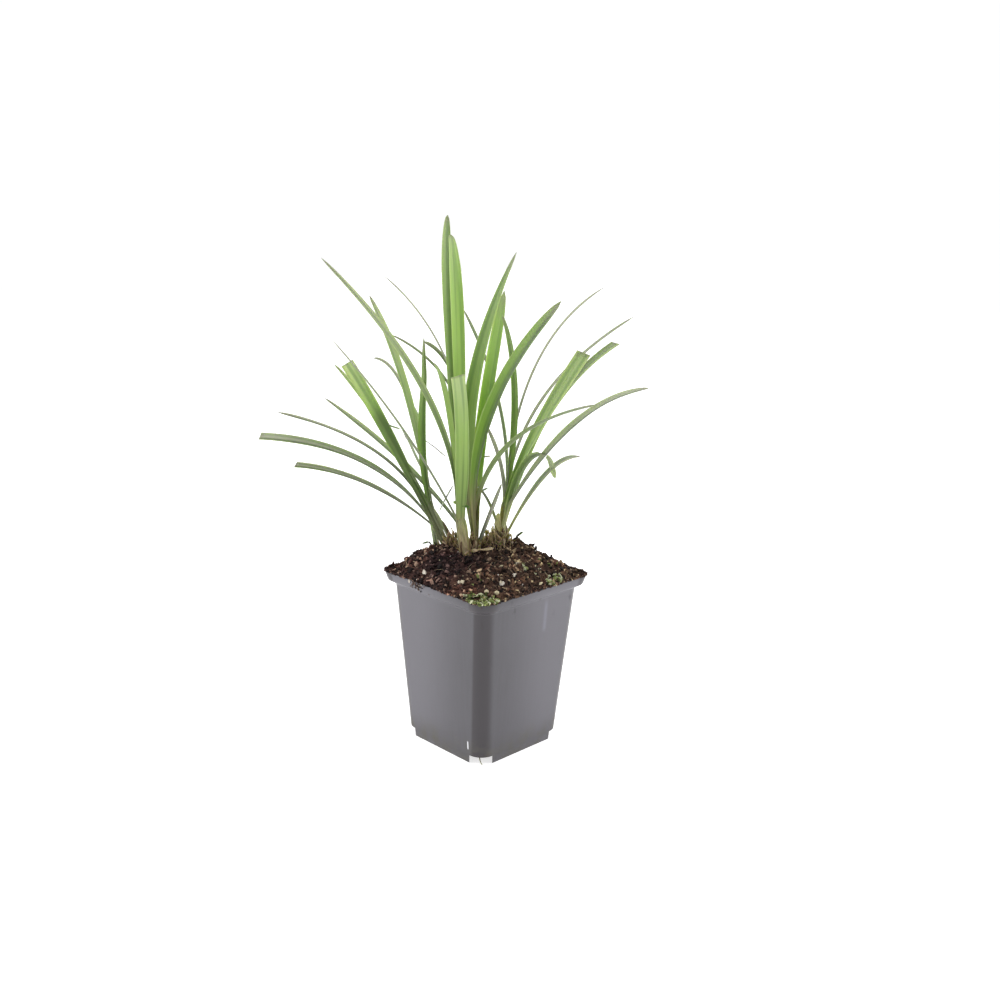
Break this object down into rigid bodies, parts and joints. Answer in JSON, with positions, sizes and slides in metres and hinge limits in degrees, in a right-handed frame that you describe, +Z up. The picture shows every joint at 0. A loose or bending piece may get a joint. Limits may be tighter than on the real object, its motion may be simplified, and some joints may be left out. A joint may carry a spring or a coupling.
{
  "type": "potted liriope",
  "caption": "Young lily turf with arching strap leaves, growing from a mound of potting soil in a square tapered plastic nursery pot.",
  "frame": {"origin": "on the pot's axis, level with the bottom of its feet", "axes": "+Z up; X and Y along the pot's sides; the pot's front corner, which faces the viewer, points towards +X -Y"},
  "size_m": [0.1845, 0.1829, 0.3022],
  "materials": {
    "pot_plastic": "grey-brown moulded polypropylene, satin, with faint dust and scuffs",
    "potting_soil": "dark peat and bark chips, moist and matte",
    "leaf": "fresh green leaf with fine lengthwise veins, soft sheen, straw-coloured at the sheath"
  },
  "bodies": {
    "root": {"pot": "pot_plastic", "soil": "potting_soil", "shoot_left": "leaf", "shoot_middle": "leaf", "shoot_centre": "leaf", "shoot_right": "leaf"}
  },
  "joints": []
}
